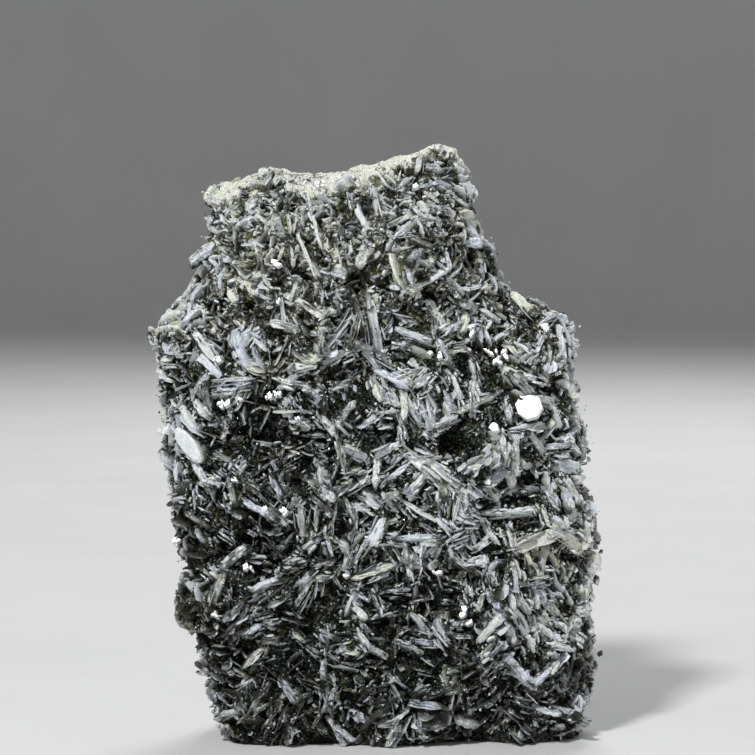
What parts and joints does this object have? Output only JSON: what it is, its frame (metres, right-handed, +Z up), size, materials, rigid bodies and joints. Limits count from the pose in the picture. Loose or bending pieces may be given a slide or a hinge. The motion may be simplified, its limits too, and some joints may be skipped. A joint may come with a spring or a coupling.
{
  "type": "quartz crystal cluster",
  "caption": "Free-standing slab of dark druse bristling with thin pale quartz blades, narrowing to a broken neck, on a flat cut base.",
  "frame": {"origin": "on the flat base, in the slab's mid-plane, near the middle of the base", "axes": "+Z up, -Y out of the richly crystallised front, +X to the right as seen from the front"},
  "size_m": [0.1162, 0.0479, 0.1479],
  "materials": {
    "quartz": "rough dark druse with glassy milky blades"
  },
  "bodies": {
    "root": {"quartz_cluster": "quartz"}
  },
  "joints": []
}
